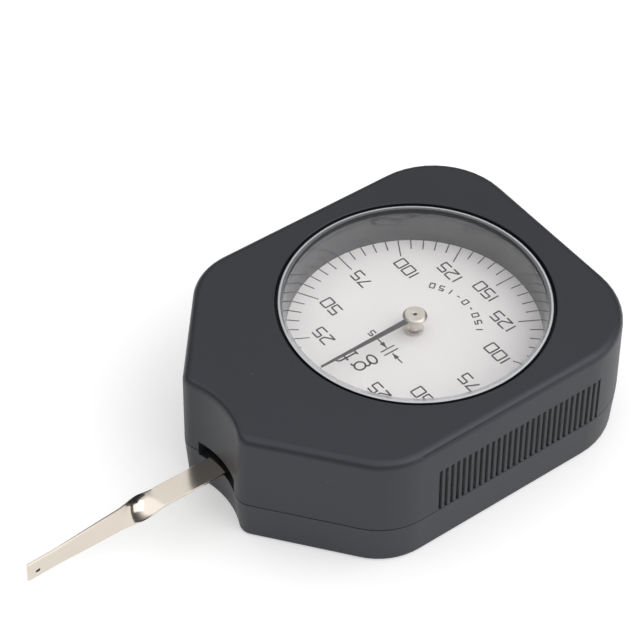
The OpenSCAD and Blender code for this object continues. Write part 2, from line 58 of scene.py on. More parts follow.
def add(tree, kind, inputs, **settings):
    """One shader node with its settings, each input set to a value or linked to a socket."""
    node = tree.nodes.new("ShaderNode" + kind)
    for name, value in settings.items():
        setattr(node, name, value)
    for name, value in inputs.items():
        if isinstance(value, bpy.types.NodeSocket):
            tree.links.new(value, node.inputs[name])
        else:
            node.inputs[name].default_value = value
    return node


def bare_material(name):
    """A new material whose node tree is still empty."""
    made = bpy.data.materials.new(name)
    made.use_nodes = True
    made.node_tree.nodes.clear()
    return made, made.node_tree


def cover(material, *nodes):
    """Gives CAD nodes that keep their own shape a finished material."""
    for name in nodes:
        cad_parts[name].material_slots[0].material = material


# A pattern's scale counts its cells per metre, so 5000 is one every 0.2 mm. A Mix node takes two
# colours at its sockets 6 and 7 and gives the blend at output 2.
# Brass, milled: yellow metal with straight tool lines 0.2 mm apart and darker patches of tarnish.
milled_brass, tree = bare_material("milled_brass")
place = add(tree, "TexCoord", {})
along = add(tree, "Mapping", {"Vector": place.outputs["Object"], "Scale": (0.06, 1, 1)})
lines = add(tree, "TexNoise", {"Vector": along.outputs[0], "Scale": 5000, "Detail": 2})
tarnish = add(tree, "TexNoise", {"Vector": place.outputs["Object"], "Scale": 140, "Detail": 5,
                                 "Roughness": 0.6})
patch = add(tree, "MapRange", {"Value": tarnish.outputs[0], "From Min": 0.42, "From Max": 0.68})
tint = add(tree, "Mix", {0: patch.outputs[0], 6: linear("#d3ac62"), 7: linear("#a98245")},
           data_type="RGBA")
gloss = add(tree, "MapRange", {"Value": lines.outputs[0], "To Min": 0.22, "To Max": 0.42})
relief = add(tree, "Bump", {"Height": lines.outputs[0], "Strength": 0.25, "Distance": 0.00002})
shader = add(tree, "BsdfPrincipled", {"Base Color": tint.outputs[2], "Metallic": 1,
                                      "Roughness": gloss.outputs[0], "Normal": relief.outputs[0]})
add(tree, "OutputMaterial", {"Surface": shader.outputs[0]})
cover(milled_brass, "front_plate", "rear_plate", "plate_pillars")


# Bushes: four short sleeves of sintered bronze pressed into the plates, where the pivots turn.
# Pressing powder leaves a dull brown surface with open pores about 0.1 mm wide.
sintered_bronze, tree = bare_material("sintered_bronze")
place = add(tree, "TexCoord", {})
pores = add(tree, "TexVoronoi", {"Vector": place.outputs["Object"], "Scale": 8000})
pit = add(tree, "MapRange", {"Value": pores.outputs["Distance"], "From Min": 0.05,
                             "From Max": 0.45})
tint = add(tree, "Mix", {0: pit.outputs[0], 6: linear("#5c3d22"), 7: linear("#a8743f")},
           data_type="RGBA")
gloss = add(tree, "MapRange", {"Value": pit.outputs[0], "To Min": 0.75, "To Max": 0.45})
relief = add(tree, "Bump", {"Height": pit.outputs[0], "Strength": 0.3, "Distance": 0.00003})
shader = add(tree, "BsdfPrincipled", {"Base Color": tint.outputs[2], "Metallic": 1,
                                      "Roughness": gloss.outputs[0], "Normal": relief.outputs[0]})
add(tree, "OutputMaterial", {"Surface": shader.outputs[0]})
cover(sintered_bronze, "front_bushes", "rear_bushes")


# Screws of the movement: small machine screws of zinc-plated steel that hold the frame together,
# hang it in the front case and clamp the lever. The plating is pale, slightly blue, and mottled
# where it was dipped.
zinc_plate, tree = bare_material("zinc_plated_steel")
place = add(tree, "TexCoord", {})
mottle = add(tree, "TexNoise", {"Vector": place.outputs["Object"], "Scale": 900, "Detail": 4,
                                "Roughness": 0.65})
tint = add(tree, "Mix", {0: mottle.outputs[0], 6: linear("#8f949c"), 7: linear("#d4d7dc")},
           data_type="RGBA")
gloss = add(tree, "MapRange", {"Value": mottle.outputs[0], "To Min": 0.45, "To Max": 0.22})
relief = add(tree, "Bump", {"Height": mottle.outputs[0], "Strength": 0.15, "Distance": 0.00003})
shader = add(tree, "BsdfPrincipled", {"Base Color": tint.outputs[2], "Metallic": 1,
                                      "Roughness": gloss.outputs[0], "Normal": relief.outputs[0]})
add(tree, "OutputMaterial", {"Surface": shader.outputs[0]})
cover(zinc_plate, "plate_screws", "movement_screws", "lever_screws")


# Arbors and pins: bright drawn steel turned between centres and pressed home. The tool leaves fine
# rings round each piece, drawn 0.15 mm apart so that they can be seen.
turned_steel, tree = bare_material("turned_steel")
place = add(tree, "TexCoord", {})
round_it = add(tree, "Mapping", {"Vector": place.outputs["Object"], "Scale": (0.02, 0.02, 1)})
rings = add(tree, "TexNoise", {"Vector": round_it.outputs[0], "Scale": 6500, "Detail": 2})
tint = add(tree, "Mix", {0: rings.outputs[0], 6: linear("#9c9ea2"), 7: linear("#d8d9db")},
           data_type="RGBA")
gloss = add(tree, "MapRange", {"Value": rings.outputs[0], "To Min": 0.18, "To Max": 0.36})
relief = add(tree, "Bump", {"Height": rings.outputs[0], "Strength": 0.3, "Distance": 0.00002})
shader = add(tree, "BsdfPrincipled", {"Base Color": tint.outputs[2], "Metallic": 1,
                                      "Roughness": gloss.outputs[0], "Normal": relief.outputs[0]})
add(tree, "OutputMaterial", {"Surface": shader.outputs[0]})
cover(turned_steel, "stop_pins", "spring_anchor", "pinion_arbor", "lever_arbor")


# Springs: the stiff spiral round the lever boss and the fine hairspring on the pinion, both of
# hardened strip drawn blue by heat. The colour drifts between blue and straw along the strip.
blued_steel, tree = bare_material("blued_spring_steel")
place = add(tree, "TexCoord", {})
drift = add(tree, "TexNoise", {"Vector": place.outputs["Object"], "Scale": 260, "Detail": 3})
heat = add(tree, "MapRange", {"Value": drift.outputs[0], "From Min": 0.5, "From Max": 0.75})
tint = add(tree, "Mix", {0: heat.outputs[0], 6: linear("#2f4468"), 7: linear("#7d6a58")},
           data_type="RGBA")
gloss = add(tree, "MapRange", {"Value": drift.outputs[0], "To Min": 0.2, "To Max": 0.38})
shader = add(tree, "BsdfPrincipled", {"Base Color": tint.outputs[2], "Metallic": 1,
                                      "Roughness": gloss.outputs[0]})
add(tree, "OutputMaterial", {"Surface": shader.outputs[0]})
cover(blued_steel, "measuring_spring", "hairspring")


# Sector, lever boss, hairspring collet and stud: free-cutting brass, turned or hobbed and left
# bare. It is the plates' metal without their tool lines, polished where the teeth run.
turned_brass, tree = bare_material("turned_brass")
place = add(tree, "TexCoord", {})
cloud = add(tree, "TexNoise", {"Vector": place.outputs["Object"], "Scale": 320, "Detail": 5,
                               "Roughness": 0.6})
tint = add(tree, "Mix", {0: cloud.outputs[0], 6: linear("#b98f4d"), 7: linear("#dcb873")},
           data_type="RGBA")
gloss = add(tree, "MapRange", {"Value": cloud.outputs[0], "To Min": 0.34, "To Max": 0.18})
relief = add(tree, "Bump", {"Height": cloud.outputs[0], "Strength": 0.1, "Distance": 0.00003})
shader = add(tree, "BsdfPrincipled", {"Base Color": tint.outputs[2], "Metallic": 1,
                                      "Roughness": gloss.outputs[0], "Normal": relief.outputs[0]})
add(tree, "OutputMaterial", {"Surface": shader.outputs[0]})
cover(turned_brass, "sector_gear", "lever_boss", "hairspring_collet", "hairspring_stud")


# Lever blade: half-millimetre steel strip clamped between boss and sector, twisted a quarter turn
# outside the case, squared off and nickel plated, then pierced for a thread. Its sheared edges are
# slightly rounded.
weld = 0.000001


def merged(node, flatten=False):
    """A copy of a CAD solid's mesh, its loose triangles joined and, if asked for, its flat faces
    made whole."""
    shape = bmesh.new()
    shape.from_mesh(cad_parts[node].data)
    bmesh.ops.remove_doubles(shape, verts=shape.verts, dist=weld)
    if flatten:
        bmesh.ops.dissolve_limit(shape, angle_limit=math.radians(0.2), verts=shape.verts,
                                 edges=shape.edges)
    return shape


def rounded(shape, width, sharper_than=30):
    """Rounds off every edge of a bmesh where its faces turn by more than some degrees."""
    sharp = [e for e in shape.edges
             if e.is_manifold and e.calc_face_angle() > math.radians(sharper_than)]
    bmesh.ops.bevel(shape, geom=sharp, offset=width, offset_type="OFFSET", segments=2,
                    profile=0.5, affect="EDGES", clamp_overlap=True, material=-1)
    return shape


def placed(shape, name, crease=40, even=True):
    """Finishes a bmesh as an object with smooth faces, level ones aside, that stay crisp along
    edges sharper than the crease. Even shading lets the large faces lead the normals."""
    level = 0.99999
    for face in shape.faces:
        face.smooth = abs(face.normal.z) < level
    for edge in shape.edges:
        edge.smooth = not edge.is_manifold or edge.calc_face_angle() < math.radians(crease)
    mesh = bpy.data.meshes.new(name)
    shape.to_mesh(mesh)
    shape.free()
    piece = bpy.data.objects.new(name, mesh)
    bpy.context.scene.collection.objects.link(piece)
    if even:
        piece.modifiers.new("even_shading", "WEIGHTED_NORMAL").keep_sharp = True
    return piece


# The clamped end is the CAD shape. From just before the twist on, the strip is a fine flat grid
# with the thread hole in it, made as thick as the rest and then turned step by step, so that it
# bends without facets.
tail_start, tip = -0.057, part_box("lever_blade")[0].y
across, lengthwise = 10, 90
hole, hole_r = Vector((0.0006, tip + 0.002, 0)), 0.00045
hole_block, hole_rim = 0.0007, 0.0014
lever = merged("lever_blade", flatten=True)
bmesh.ops.bisect_plane(lever, geom=lever.verts[:] + lever.edges[:] + lever.faces[:],
                       plane_co=(0, tail_start, 0), plane_no=(0, -1, 0), clear_outer=True)
cut = [v.co for v in lever.verts if v.co.y < tail_start + weld]
half_w, low, high = max(c.x for c in cut), min(c.z for c in cut), max(c.z for c in cut)
strip_z = (low + high) / 2
ends = [e for e in lever.edges if e.is_boundary and e.calc_length() > half_w]
bmesh.ops.subdivide_edges(lever, edges=ends, cuts=across - 1)
tail = bmesh.new()
bmesh.ops.create_grid(tail, x_segments=across, y_segments=lengthwise, size=1)
bmesh.ops.scale(tail, verts=tail.verts, vec=(half_w, (tail_start - tip) / 2, 1))
bmesh.ops.translate(tail, verts=tail.verts, vec=(0, (tail_start + tip) / 2, 0))
block = [f for f in tail.faces
         if max(abs(c) for c in f.calc_center_median() - hole) < hole_block]
bmesh.ops.delete(tail, geom=block, context="FACES")
rim = [e for e in tail.edges if e.is_boundary and (e.verts[0].co - hole).length < hole_rim]
circle = bmesh.ops.create_circle(tail, segments=24, radius=hole_r)["verts"]
bmesh.ops.translate(tail, verts=circle, vec=hole)
bmesh.ops.bridge_loops(tail, edges=rim + list({e for v in circle for e in v.link_edges}))
bmesh.ops.recalc_face_normals(tail, faces=tail.faces)
bmesh.ops.solidify(tail, geom=tail.faces[:], thickness=high - low)
heights = [v.co.z for v in tail.verts]
bmesh.ops.translate(tail, verts=tail.verts,
                    vec=(0, 0, strip_z - (min(heights) + max(heights)) / 2))
bmesh.ops.recalc_face_normals(tail, faces=tail.faces)
inner_end = [f for f in tail.faces if f.calc_center_median().y > tail_start - weld]
bmesh.ops.delete(tail, geom=inner_end, context="FACES")
# Most of the turn is a short twist that eases in and out, and the rest is spread along the tail,
# which also sinks a little towards its tip.
twist_from, twist_to, twist = -0.0574, -0.0652, 76
spread_from, spread_to, spread = -0.0625, -0.0784, 19
sink_from, sink_slope = -0.0585, 0.043
for point in tail.verts[:]:
    near, far = [min(1, max(0, (first - point.co.y) / (first - last)))
                 for first, last in ((twist_from, twist_to), (spread_from, spread_to))]
    turn = twist * near * near * (3 - 2 * near) + spread * far
    bmesh.ops.rotate(tail, verts=[point], cent=(0, 0, strip_z),
                     matrix=Matrix.Rotation(math.radians(turn), 3, "Y"))
    bmesh.ops.translate(tail, verts=[point],
                        vec=(0, 0, min(0, sink_slope * (point.co.y - sink_from))))
tail_mesh = bpy.data.meshes.new("lever_tail")
tail.to_mesh(tail_mesh)
tail.free()
lever.from_mesh(tail_mesh)
bpy.data.meshes.remove(tail_mesh)
bmesh.ops.remove_doubles(lever, verts=lever.verts, dist=2 * weld)
sheared_edge = 0.00007
lever_strip = placed(rounded(lever, sheared_edge), "lever_strip")
# Nickel plate: bright warm silver with hair lines along the strip, too faint to break up a
# reflection.
nickel_plate, tree = bare_material("nickel_plated_strip")
place = add(tree, "TexCoord", {})
along = add(tree, "Mapping", {"Vector": place.outputs["Object"], "Scale": (1, 0.03, 1)})
hair = add(tree, "TexNoise", {"Vector": along.outputs[0], "Scale": 5200, "Detail": 3})
marks = add(tree, "TexNoise", {"Vector": place.outputs["Object"], "Scale": 90, "Detail": 3})
tint = add(tree, "Mix", {0: marks.outputs[0], 6: linear("#e2d9ce"), 7: linear("#d8cec1")},
           data_type="RGBA")
gloss = add(tree, "MapRange", {"Value": hair.outputs[0], "To Min": 0.08, "To Max": 0.2})
relief = add(tree, "Bump", {"Height": hair.outputs[0], "Strength": 0.05, "Distance": 0.00001})
shader = add(tree, "BsdfPrincipled", {"Base Color": tint.outputs[2], "Metallic": 1,
                                      "Roughness": gloss.outputs[0], "Normal": relief.outputs[0]})
add(tree, "OutputMaterial", {"Surface": shader.outputs[0]})
lever_strip.data.materials.append(nickel_plate)
# Punched edge: the thread hole is made after plating, so its wall is bare dark steel.
punched_steel, tree = bare_material("punched_steel")
place = add(tree, "TexCoord", {})
tear = add(tree, "TexNoise", {"Vector": place.outputs["Object"], "Scale": 9000, "Detail": 3})
tint = add(tree, "Mix", {0: tear.outputs[0], 6: linear("#4a4540"), 7: linear("#6a645c")},
           data_type="RGBA")
shader = add(tree, "BsdfPrincipled", {"Base Color": tint.outputs[2], "Metallic": 0.6,
                                      "Roughness": 0.7})
add(tree, "OutputMaterial", {"Surface": shader.outputs[0]})
lever_strip.data.materials.append(punched_steel)
# After the turn the hole runs along X, through this middle.
punched = 1
turned_hole, wall_reach = Vector((-0.0000523, -0.0824, 0.0083206)), 0.00056
for face in lever_strip.data.polygons:
    if (Vector(face.center) - turned_hole).length < wall_reach and abs(face.normal.x) < 0.4:
        face.material_index = punched
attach(lever_strip, "lever")
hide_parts("lever_blade")


# Dial plate: an aluminium disc with a baked white satin enamel, clamped between the front plate
# and the wall round the dial. The enamel has a fine orange peel.
dial_enamel, tree = bare_material("white_dial_enamel")
place = add(tree, "TexCoord", {})
shade = add(tree, "TexNoise", {"Vector": place.outputs["Object"], "Scale": 60, "Detail": 3})
peel = add(tree, "TexNoise", {"Vector": place.outputs["Object"], "Scale": 2600, "Detail": 2})
tint = add(tree, "Mix", {0: shade.outputs[0], 6: linear("#f2efef"), 7: linear("#f8f5f5")},
           data_type="RGBA")
gloss = add(tree, "MapRange", {"Value": peel.outputs[0], "To Min": 0.38, "To Max": 0.5})
relief = add(tree, "Bump", {"Height": peel.outputs[0], "Strength": 0.06, "Distance": 0.00002})
shader = add(tree, "BsdfPrincipled", {"Base Color": tint.outputs[2], "Roughness": gloss.outputs[0],
                                      "Normal": relief.outputs[0]})
add(tree, "OutputMaterial", {"Surface": shader.outputs[0]})
cover(dial_enamel, "dial_plate")


# Scale print: black ink screened on the enamel, two hundredths of a millimetre thick. Ticks stand
# every six degrees, with a long one at each number, and a small pair of bars and arrows shows what
# one division is worth.
dial_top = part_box("dial_plate")[1].z
ink_film = 0.00002


def printed(strokes, name, width):
    """Raises flat strokes from the dial face and gives them the width of the pen."""
    bmesh.ops.translate(strokes, verts=strokes.verts, vec=(0, 0, dial_top))
    raised = bmesh.ops.extrude_edge_only(strokes, edges=strokes.edges[:])["geom"]
    bmesh.ops.translate(strokes, verts=[v for v in raised if isinstance(v, bmesh.types.BMVert)],
                        vec=(0, 0, ink_film))
    piece = placed(strokes, name, even=False)
    pen = piece.modifiers.new("pen", "SOLIDIFY")
    pen.thickness = width
    pen.offset = 0
    pen.use_even_offset = True
    piece.data.materials.append(ink)
    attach(piece, "case")


def stroke(strokes, points, rounding=0, closed=False):
    """One pen stroke through some points in millimetres, with its corners rounded. Gives back its
    vertices."""
    path = []
    for i, corner in enumerate(points):
        before, after = Vector(points[i - 1]), Vector(points[(i + 1) % len(points)])
        corner = Vector(corner)
        if not rounding or (not closed and i in (0, len(points) - 1)):
            path.append(corner)
            continue
        start = corner + (before - corner).normalized() * rounding
        end = corner + (after - corner).normalized() * rounding
        path += [start.lerp(corner, t).lerp(corner.lerp(end, t), t)
                 for t in (0, 0.25, 0.5, 0.75, 1)]
    chain = [strokes.verts.new((p.x / 1000, p.y / 1000, 0)) for p in path]
    for a, b in zip(chain, chain[1:] + chain[:1] if closed else chain[1:]):
        strokes.edges.new((a, b))
    return chain


# Screen ink: matt black with a slightly uneven film.
ink, tree = bare_material("black_screen_ink")
place = add(tree, "TexCoord", {})
film = add(tree, "TexNoise", {"Vector": place.outputs["Object"], "Scale": 3000, "Detail": 3})
tint = add(tree, "Mix", {0: film.outputs[0], 6: linear("#1c1c1e"), 7: linear("#2e2e31")},
           data_type="RGBA")
gloss = add(tree, "MapRange", {"Value": film.outputs[0], "To Min": 0.5, "To Max": 0.7})
shader = add(tree, "BsdfPrincipled", {"Base Color": tint.outputs[2],
                                      "Roughness": gloss.outputs[0]})
add(tree, "OutputMaterial", {"Surface": shader.outputs[0]})

# The numbers share the circle evenly, with five divisions of six degrees from one to the next.
division, per_number = 6, 5
number_step = division * per_number
copies = 360 // number_step - 1
tick_start, number_tick_start, tick_end = 21.47, 19.54, 23.85
ticks = bmesh.new()
for step in range(per_number):
    start = tick_start if step else number_tick_start
    one = stroke(ticks, [(0, -start), (0, -tick_end)])
    bmesh.ops.rotate(ticks, verts=one, cent=(0, 0, 0),
                     matrix=Matrix.Rotation(math.radians(division * step), 3, "Z"))
bmesh.ops.spin(ticks, geom=ticks.verts[:] + ticks.edges[:], cent=(0, 0, 0), axis=(0, 0, 1),
               angle=math.radians(copies * number_step), steps=copies, use_duplicate=True)
printed(ticks, "dial_ticks", width=0.00022)

# Square-set digits drawn with one pen, by their centre lines, in millimetres: points, rounding,
# closed.
digit_w, digit_h, digit_gap = 1.72, 2.34, 0.62
one_w, dash_w = 0.3, 1.2
digits = {
    "0": [([(0, 0), (digit_w, 0), (digit_w, digit_h), (0, digit_h)], 0.2, True)],
    "1": [([(one_w / 2, digit_h), (one_w / 2, 0)], 0, False)],
    "2": [([(0, digit_h), (digit_w, digit_h), (digit_w, 1.25), (0, 0)], 0.2, False),
          ([(0, 0), (digit_w, 0)], 0, False)],
    "5": [([(digit_w, digit_h), (0.05, digit_h), (0.05, 1.35), (digit_w, 1.35), (digit_w, 0),
            (0, 0)], 0.15, False)],
    "7": [([(0, digit_h), (digit_w, digit_h), (0.55, 0)], 0, False)],
    "-": [([(0, digit_h / 2), (dash_w, digit_h / 2)], 0, False)],
}


def advance(sign):
    """How far the pen moves on after a sign."""
    return {"1": one_w, "-": dash_w}.get(sign, digit_w) + digit_gap


def number(strokes, signs, size):
    """Writes signs centred on the origin, scaled, and gives back their vertices. They stand
    upright as seen with the lever pointing up, which is half a turn in this frame."""
    pen = -(sum(advance(s) for s in signs) - digit_gap) / 2
    made = []
    for sign in signs:
        for points, rounding, closed in digits[sign]:
            lifted = [(x + pen, y - digit_h / 2) for x, y in points]
            made += stroke(strokes, lifted, rounding, closed)
        pen += advance(sign)
    bmesh.ops.transform(strokes, verts=made, matrix=Matrix.Scale(size, 4))
    bmesh.ops.rotate(strokes, verts=made, cent=(0, 0, 0),
                     matrix=Matrix.Rotation(math.pi, 3, "Z"))
    return made


# Each number stands on both sides of the zero mark, apart from 150, where the two sides meet.
numbers = bmesh.new()
for signs, x, y in (("25", 8.6, -14.6), ("50", 13.95, -8.9), ("75", 16.4, 0),
                    ("100", 13.7, 8.65), ("125", 8.0, 14.65), ("150", 0, 17.0)):
    for side in (-1, 1) if x else (1,):
        made = number(numbers, signs, size=1)
        bmesh.ops.translate(numbers, verts=made, vec=(side * x / 1000, y / 1000, 0))
printed(numbers, "dial_numbers", width=0.00032)

# A plain range line curves below the centre, in the same digits at half size.
range_signs, range_size, range_r, range_step = "150-0-150", 0.52, 0.0121, 9
small_print = bmesh.new()
for i, sign in enumerate(range_signs):
    made = number(small_print, sign, range_size)
    bmesh.ops.translate(small_print, verts=made, vec=(0, range_r, 0))
    turn = math.radians(range_step * (i - len(range_signs) // 2))
    bmesh.ops.rotate(small_print, verts=made, cent=(0, 0, 0),
                     matrix=Matrix.Rotation(turn, 3, "Z"))
# The division mark: two bars one division apart, an arrow on each side and the number 5.
mark_y, bar_from, bar_to = -6.95, -8.5, -5.4
arrows = ((5.4, 2.4, 1), (-2.2, 0.65, -1))
for shaft_from, shaft_to, _ in arrows:
    stroke(small_print, [(shaft_from, mark_y), (shaft_to, mark_y)])
for x in (2.0, 0.95):
    stroke(small_print, [(x, bar_from), (x, bar_to)])
made = number(small_print, "5", size=0.55)
bmesh.ops.translate(small_print, verts=made, vec=(-0.0039, -0.0069, 0))
printed(small_print, "dial_small_print", width=0.00026)

# The arrows end in solid heads, each a flat prism of three sides drawn out to 1.5 mm by 1 mm.
head_r, head_squeeze = 0.001, 0.58
arrow_heads = bmesh.new()
for _, shaft_to, way in arrows:
    head = bmesh.ops.create_cone(arrow_heads, cap_ends=True, segments=3, radius1=head_r,
                                 radius2=head_r, depth=ink_film)["verts"]
    bmesh.ops.scale(arrow_heads, verts=head, vec=(head_squeeze, 1, 1))
    bmesh.ops.rotate(arrow_heads, verts=head, cent=(0, 0, 0),
                     matrix=Matrix.Rotation(way * math.pi / 2, 3, "Z"))
    bmesh.ops.translate(arrow_heads, verts=head, vec=((shaft_to + way) / 1000, mark_y / 1000,
                                                      dial_top + ink_film / 2))
heads = placed(arrow_heads, "dial_arrow_heads")
heads.data.materials.append(ink)
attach(heads, "case")

# The unit sign gf: a letter g of two bowls, a link and an ear, then a letter f with a hook, a bar
# and a foot.
unit_sign = bmesh.new()
for up, wide, tall in ((1.15, 1.0, 1.05), (-1.6, 1.2, 0.75)):
    bowl = bmesh.ops.create_circle(unit_sign, segments=28, radius=0.001)["verts"]
    bmesh.ops.scale(unit_sign, verts=bowl, vec=(wide, tall, 1))
    bmesh.ops.translate(unit_sign, verts=bowl, vec=(0, up / 1000, 0))
stroke(unit_sign, [(-0.6, 0.3), (-0.95, -0.2), (-0.7, -0.75), (0.5, -0.9)], rounding=0.25)
stroke(unit_sign, [(0.65, 1.9), (1.0, 2.2), (1.45, 2.15)], rounding=0.15)
stroke(unit_sign, [(3.1, -0.3), (3.1, 3.3), (3.5, 3.85), (4.2, 3.7)], rounding=0.25)
stroke(unit_sign, [(2.4, 2.05), (3.9, 2.05)])
stroke(unit_sign, [(2.6, -0.3), (3.6, -0.3)])
bmesh.ops.rotate(unit_sign, verts=unit_sign.verts, cent=(0, 0, 0),
                 matrix=Matrix.Rotation(math.pi, 3, "Z"))
bmesh.ops.translate(unit_sign, verts=unit_sign.verts, vec=(0.0014, -0.0125, 0))
printed(unit_sign, "dial_unit_sign", width=0.00036)


# Pointer needle: thin bronze strip, pressed flat, which leaves its edges slightly round, then
# blacked and riveted under the hub's head.
pressed_edge = 0.00005
needle_strip = placed(rounded(merged("pointer_needle", flatten=True), pressed_edge),
                      "needle_strip")
# Blacking: a thin chemical black that lets the metal's sheen through.
needle_black, tree = bare_material("blacked_needle")
place = add(tree, "TexCoord", {})
cloud = add(tree, "TexNoise", {"Vector": place.outputs["Object"], "Scale": 900, "Detail": 4})
tint = add(tree, "Mix", {0: cloud.outputs[0], 6: linear("#353537"), 7: linear("#454547")},
           data_type="RGBA")
gloss = add(tree, "MapRange", {"Value": cloud.outputs[0], "To Min": 0.32, "To Max": 0.5})
shader = add(tree, "BsdfPrincipled", {"Base Color": tint.outputs[2],
                                      "Roughness": gloss.outputs[0]})
add(tree, "OutputMaterial", {"Surface": shader.outputs[0]})
needle_strip.data.materials.append(needle_black)
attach(needle_strip, "pointer")
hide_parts("pointer_needle")


# Pointer hub: a spool turned from brass bar and nickel plated, pushed on the pinion arbor. It has
# a flared foot, a slim waist and a thick head with a broken edge and a centre-drill dimple.
def turned(profile, steps, broken=()):
    """Turns pairs of radius and height into a closed bmesh, with some of the corners broken."""
    shape = bmesh.new()
    chain = [shape.verts.new((r, 0, z)) for r, z in profile]
    for a, b in zip(chain, chain[1:]):
        shape.edges.new((a, b))
    if broken:
        bmesh.ops.bevel(shape, geom=[chain[i] for i in broken], offset=0.00003,
                        offset_type="OFFSET", segments=2, profile=0.5, affect="VERTICES",
                        material=-1)
    bmesh.ops.spin(shape, geom=shape.verts[:] + shape.edges[:], cent=(0, 0, 0), axis=(0, 0, 1),
                   angle=math.tau, steps=steps, use_merge=True)
    bmesh.ops.remove_doubles(shape, verts=shape.verts, dist=weld)
    bmesh.ops.recalc_face_normals(shape, faces=shape.faces)
    return shape


hub_low, hub_high = (corner.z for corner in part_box("pointer_hub"))
hub_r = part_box("pointer_hub")[1].x
bore_r, foot_r, flare_r, waist_r = 0.00061, 0.00178, 0.00147, 0.0013
foot_top, flare_top, waist_low = hub_low + 0.00036, hub_low + 0.0009, hub_low + 0.0016
head_low, chamfer = hub_high - 0.00065, 0.00043
dimple_r, dimple_depth = 0.00046, 0.00039
hub_profile = [
    (0, head_low), (bore_r, head_low), (bore_r, hub_low), (foot_r, hub_low), (foot_r, foot_top),
    (flare_r, flare_top), (waist_r, waist_low), (waist_r, head_low), (hub_r, head_low),
    (hub_r, hub_high - chamfer), (hub_r - chamfer, hub_high), (dimple_r, hub_high),
    (0, hub_high - dimple_depth)]
outer_corners = range(3, len(hub_profile) - 1)
hub_spool = placed(turned(hub_profile, steps=96, broken=outer_corners), "hub_spool", crease=15)
# Nickel over turned brass: warm white metal with rings left by the tool, 0.12 mm apart. Inside
# the dimple the colour is painted dark as shade.
nickel_turned, tree = bare_material("nickel_plated_brass")
place = add(tree, "TexCoord", {})
axis = add(tree, "SeparateXYZ", {"Vector": place.outputs["Object"]})
flat = add(tree, "CombineXYZ", {"X": axis.outputs[0], "Y": axis.outputs[1]})
radius = add(tree, "VectorMath", {0: flat.outputs[0]}, operation="LENGTH")
reach = add(tree, "CombineXYZ", {"X": radius.outputs["Value"], "Z": axis.outputs[2]})
rings = add(tree, "TexNoise", {"Vector": reach.outputs[0], "Scale": 8000, "Detail": 2})
cloud = add(tree, "TexNoise", {"Vector": place.outputs["Object"], "Scale": 700, "Detail": 4})
tint = add(tree, "Mix", {0: cloud.outputs[0], 6: linear("#cfc8bd"), 7: linear("#e9e4db")},
           data_type="RGBA")
# Painted shade: the colour darkens within the dimple's radius, towards the axis.
dimple_shade_mask = add(tree, "MapRange", {"Value": radius.outputs["Value"], "From Min": dimple_r,
                               "From Max": 0.0003})
dimple_shaded_tint = add(tree, "Mix", {0: dimple_shade_mask.outputs[0], 6: tint.outputs[2], 7: linear("#4e4a45")},
           data_type="RGBA")
gloss = add(tree, "MapRange", {"Value": rings.outputs[0], "To Min": 0.24, "To Max": 0.38})
relief = add(tree, "Bump", {"Height": rings.outputs[0], "Strength": 0.2, "Distance": 0.00001})
shader = add(tree, "BsdfPrincipled", {"Base Color": dimple_shaded_tint.outputs[2], "Metallic": 1,
                                      "Roughness": gloss.outputs[0], "Normal": relief.outputs[0]})
add(tree, "OutputMaterial", {"Surface": shader.outputs[0]})
hub_spool.data.materials.append(nickel_turned)
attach(hub_spool, "pointer")
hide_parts("pointer_hub")


# Window: a thick disc of clear acrylic, turned with a flange and a bevel of two facets, and bonded
# by its flange in a recess of the front case. A narrow groove is left open round it.
window_low, window_high = (corner.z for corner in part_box("window"))
window_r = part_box("window")[1].x
groove, bond, flange_top = 0.0006, 0.00003, window_low + 0.0011
rim_r, rim_top = window_r - groove, window_high - 0.00011
facet_r, facet_top, face_r = rim_r - 0.0004, window_high - 0.00003, rim_r - 0.00095
window_profile = [
    (0, window_low + bond), (window_r, window_low + bond), (window_r, flange_top),
    (rim_r, flange_top), (rim_r, rim_top), (facet_r, facet_top), (face_r, window_high),
    (0, window_high)]
window_disc = placed(turned(window_profile, steps=180), "window_disc", crease=1.5, even=False)
# Acrylic: water clear, with a polished face that has faint wipe marks. Lamps shine through it to
# the dial.
clear_acrylic, tree = bare_material("clear_acrylic")
place = add(tree, "TexCoord", {})
wipes = add(tree, "TexNoise", {"Vector": place.outputs["Object"], "Scale": 110, "Detail": 6,
                               "Roughness": 0.7})
haze = add(tree, "MapRange", {"Value": wipes.outputs[0], "From Min": 0.5, "From Max": 0.8,
                              "To Max": 0.035})
glass = add(tree, "BsdfPrincipled", {"Base Color": linear("#fdfdfd"),
                                     "Roughness": haze.outputs[0], "IOR": 1.49,
                                     "Transmission Weight": 1})
clear = add(tree, "BsdfTransparent", {"Color": linear("#f6f5f5")})
ray = add(tree, "LightPath", {})
both = add(tree, "MixShader", {0: ray.outputs["Is Shadow Ray"], 1: glass.outputs[0],
                               2: clear.outputs[0]})
add(tree, "OutputMaterial", {"Surface": both.outputs[0]})
window_disc.data.materials.append(clear_acrylic)
# Ground acrylic: the outer facet of the bevel is only fine-turned and scatters light. Its pale
# grey is painted light, for the dial's brightness seen in the bevel, and shows as a pale ring.
ground_acrylic_painted_light, tree = bare_material("ground_acrylic_painted_light")
place = add(tree, "TexCoord", {})
turning = add(tree, "TexNoise", {"Vector": place.outputs["Object"], "Scale": 1500, "Detail": 3})
tint = add(tree, "Mix", {0: turning.outputs[0], 6: linear("#bfc3c6"), 7: linear("#cbced1")},
           data_type="RGBA")
shader = add(tree, "BsdfPrincipled", {"Base Color": tint.outputs[2], "Roughness": 0.3,
                                      "IOR": 1.49, "Transmission Weight": 0.1})
add(tree, "OutputMaterial", {"Surface": shader.outputs[0]})
window_disc.data.materials.append(ground_acrylic_painted_light)
